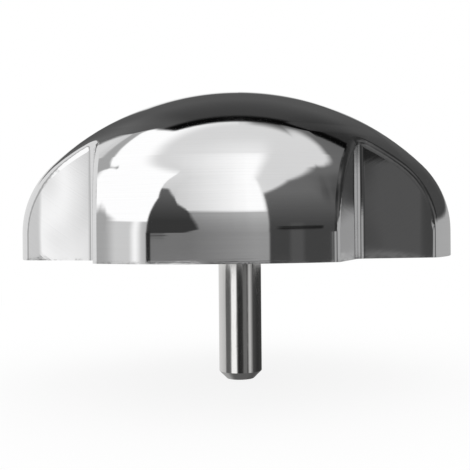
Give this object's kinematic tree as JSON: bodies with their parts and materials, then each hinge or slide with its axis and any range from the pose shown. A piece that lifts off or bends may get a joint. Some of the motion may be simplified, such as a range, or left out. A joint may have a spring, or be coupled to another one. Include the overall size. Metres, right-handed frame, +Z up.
{
  "type": "fluted steel safety dome bollard",
  "caption": "Low fluted dome of polished steel on a central round anchor pin, set into paving as a protective vehicle stop.",
  "frame": {"origin": "on the anchor pin's axis, in the plane of the rim's underside, which is the level of the paving", "axes": "+Z up along the pin's axis towards the crown; the lobes are centred on +X, +Y, -X and -Y and the flutes lie on the diagonals"},
  "size_m": [0.195, 0.195, 0.133],
  "materials": {
    "polished_steel": "mirror-polished stainless steel",
    "turned_steel": "bright drawn stainless bar",
    "plate_steel": "mill-finish stainless plate",
    "fastener_steel": "plain stainless fastener",
    "weld_metal": "as-welded stainless"
  },
  "bodies": {
    "root": {"dome_shell": "polished_steel", "anchor_pin": "turned_steel", "base_plate": "plate_steel", "hub": "turned_steel", "lock_washer": "fastener_steel", "lock_nut": "fastener_steel", "plate_weld_beads": "weld_metal", "hub_weld_bead": "weld_metal", "web_weld_beads": "weld_metal", "web_1": "plate_steel", "web_2": "plate_steel", "web_3": "plate_steel", "web_4": "plate_steel"}
  },
  "joints": []
}
